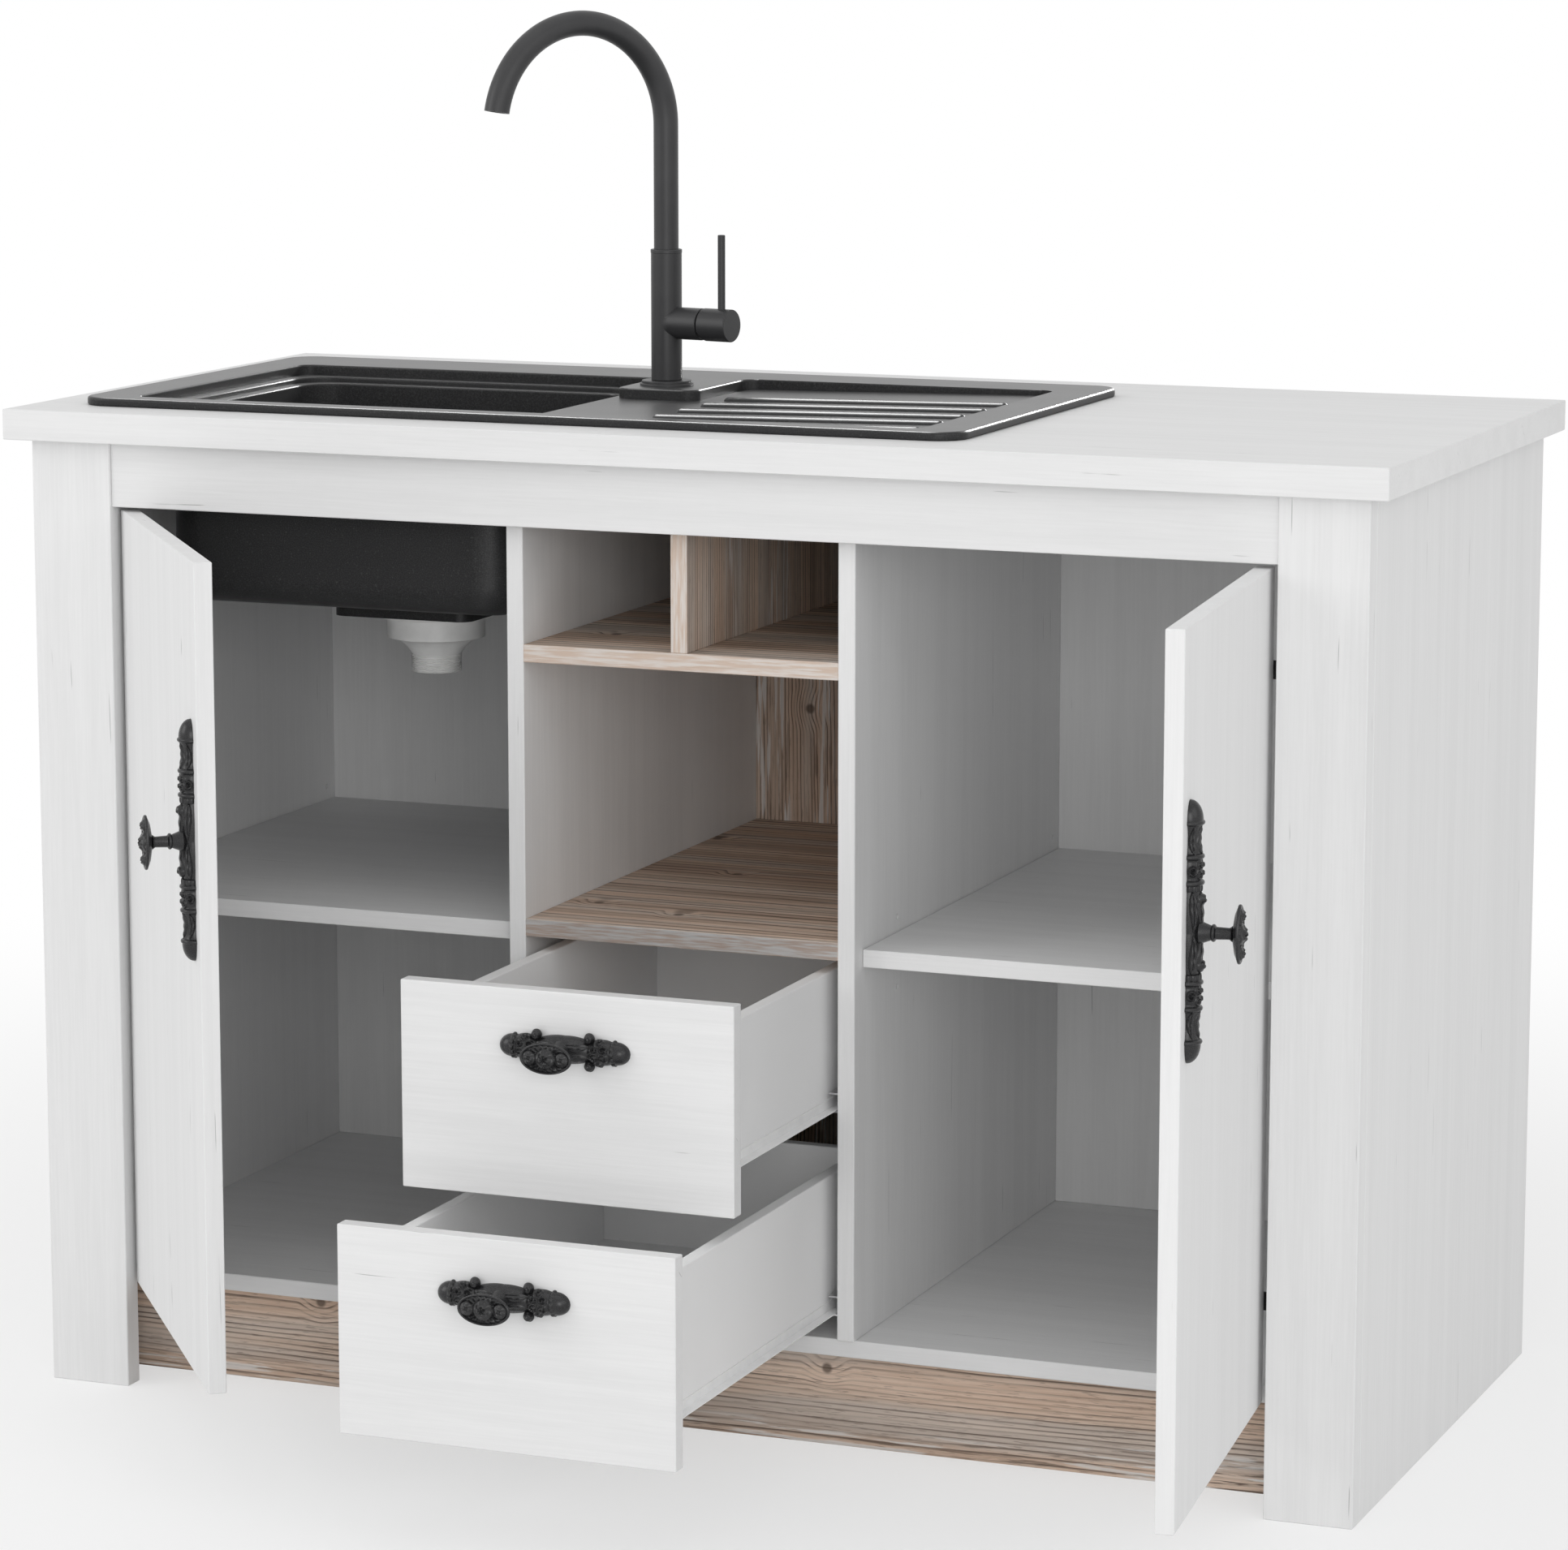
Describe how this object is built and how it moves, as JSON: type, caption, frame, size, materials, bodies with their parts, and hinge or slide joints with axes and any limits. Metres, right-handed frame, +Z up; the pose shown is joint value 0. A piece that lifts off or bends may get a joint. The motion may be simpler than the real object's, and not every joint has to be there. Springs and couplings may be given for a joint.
{
  "type": "sink base cabinet",
  "caption": "White wood-decor kitchen sink base cabinet with hinged doors, drawers, open niches, black inset sink with drainer, mixer tap and ornate black handles.",
  "frame": {"origin": "on the floor, in the wall plane behind the cabinet, at the middle of its width", "axes": "+X to the cabinet's right, +Y towards the wall behind it (the front faces -Y), +Z up"},
  "size_m": [1.31, 1.001, 1.2792],
  "materials": {
    "white_wood_decor": "satin white decor board with fine grey grain",
    "weathered_pine_decor": "matte weathered pine decor board with dark grain and grey streaks",
    "drawer_white": "smooth white coated board",
    "bright_steel": "zinc-plated pressed steel",
    "handle_iron": "black satin lacquer over relief casting",
    "black_composite": "satin black moulded stone composite with fine speckle",
    "waste_plastic": "white moulded plastic",
    "stainless_steel": "bright pressed stainless steel",
    "tap_black": "matte black coating",
    "aerator_plastic": "black moulded plastic",
    "cartridge_brass": "plain machined brass"
  },
  "bodies": {
    "cabinet": {"worktop": "white_wood_decor", "left_side_panel": "white_wood_decor", "right_side_panel": "white_wood_decor", "left_post": "white_wood_decor", "right_post": "white_wood_decor", "front_rail": "white_wood_decor", "left_divider": "white_wood_decor", "right_divider": "white_wood_decor", "base_panel": "white_wood_decor", "plinth_board": "weathered_pine_decor", "rear_base_rail": "white_wood_decor", "left_back_panel": "white_wood_decor", "center_back_panel": "weathered_pine_decor", "right_back_panel": "white_wood_decor", "left_shelf": "white_wood_decor", "right_shelf": "white_wood_decor", "shelf_pins": "bright_steel", "cubby_shelf": "weathered_pine_decor", "cubby_divider": "weathered_pine_decor", "niche_shelf": "weathered_pine_decor", "left_hinge_arms": "bright_steel", "right_hinge_arms": "bright_steel", "upper_drawer_runners": "bright_steel", "lower_drawer_runners": "bright_steel", "sink": "black_composite", "waste_body": "waste_plastic", "waste_flange": "stainless_steel", "tap_base_ring": "tap_black", "tap_body": "tap_black", "tap_nut": "cartridge_brass"},
    "spout": {"spout": "tap_black", "aerator": "aerator_plastic"},
    "mixer_core": {"mixer_core": "cartridge_brass"},
    "lever": {"lever_cap": "tap_black", "lever_rod": "tap_black"},
    "strainer": {"basket_strainer": "stainless_steel"},
    "left_door": {"left_door": "white_wood_decor", "left_hinge_cups": "bright_steel", "left_handle_plate": "handle_iron", "left_handle_knob": "handle_iron"},
    "right_door": {"right_door": "white_wood_decor", "right_hinge_cups": "bright_steel", "right_handle_plate": "handle_iron", "right_handle_knob": "handle_iron"},
    "upper_drawer": {"upper_drawer_front": "white_wood_decor", "upper_drawer_left_side": "drawer_white", "upper_drawer_right_side": "drawer_white", "upper_drawer_back": "drawer_white", "upper_drawer_bottom": "drawer_white", "upper_drawer_slides": "bright_steel", "upper_drawer_handle_plate": "handle_iron", "upper_drawer_handle_knob": "handle_iron"},
    "lower_drawer": {"lower_drawer_front": "white_wood_decor", "lower_drawer_left_side": "drawer_white", "lower_drawer_right_side": "drawer_white", "lower_drawer_back": "drawer_white", "lower_drawer_bottom": "drawer_white", "lower_drawer_slides": "bright_steel", "lower_drawer_handle_plate": "handle_iron", "lower_drawer_handle_knob": "handle_iron"}
  },
  "joints": [
    {"name": "left_door_hinge", "type": "hinge", "parent": "cabinet", "child": "left_door", "pos_m": [-0.53949, -0.5845, 0.463], "axis": [0, 0, -1], "range_deg": [-52.4, 52.6]},
    {"name": "right_door_hinge", "type": "hinge", "parent": "cabinet", "child": "right_door", "pos_m": [0.53949, -0.5845, 0.463], "axis": [0, 0, 1], "range_deg": [-96.5, 8.5]},
    {"name": "upper_drawer_slide", "type": "slide", "parent": "cabinet", "child": "upper_drawer", "axis": [0, -1, 0], "range_m": [-0.233, 0.157]},
    {"name": "lower_drawer_slide", "type": "slide", "parent": "cabinet", "child": "lower_drawer", "axis": [0, -1, 0], "range_m": [-0.361, 0.029]},
    {"name": "spout_swivel", "type": "hinge", "parent": "cabinet", "child": "spout", "pos_m": [-0.1465, -0.254, 1.056], "axis": [0, 0, 1], "range_deg": [-110, 110]},
    {"name": "mixer_turn", "type": "hinge", "parent": "cabinet", "child": "mixer_core", "pos_m": [-0.1465, -0.254, 0.987], "axis": [0.9816, -0.1908, 0], "range_deg": [-40, 40]},
    {"name": "lever_tilt", "type": "hinge", "parent": "mixer_core", "child": "lever", "pos_m": [-0.09349, -0.2643, 0.987], "axis": [0.1908, 0.9816, 0], "range_deg": [0, 22]},
    {"name": "strainer_lift", "type": "slide", "parent": "cabinet", "child": "strainer", "axis": [0, 0, 1], "range_m": [0, 0.23]}
  ]
}
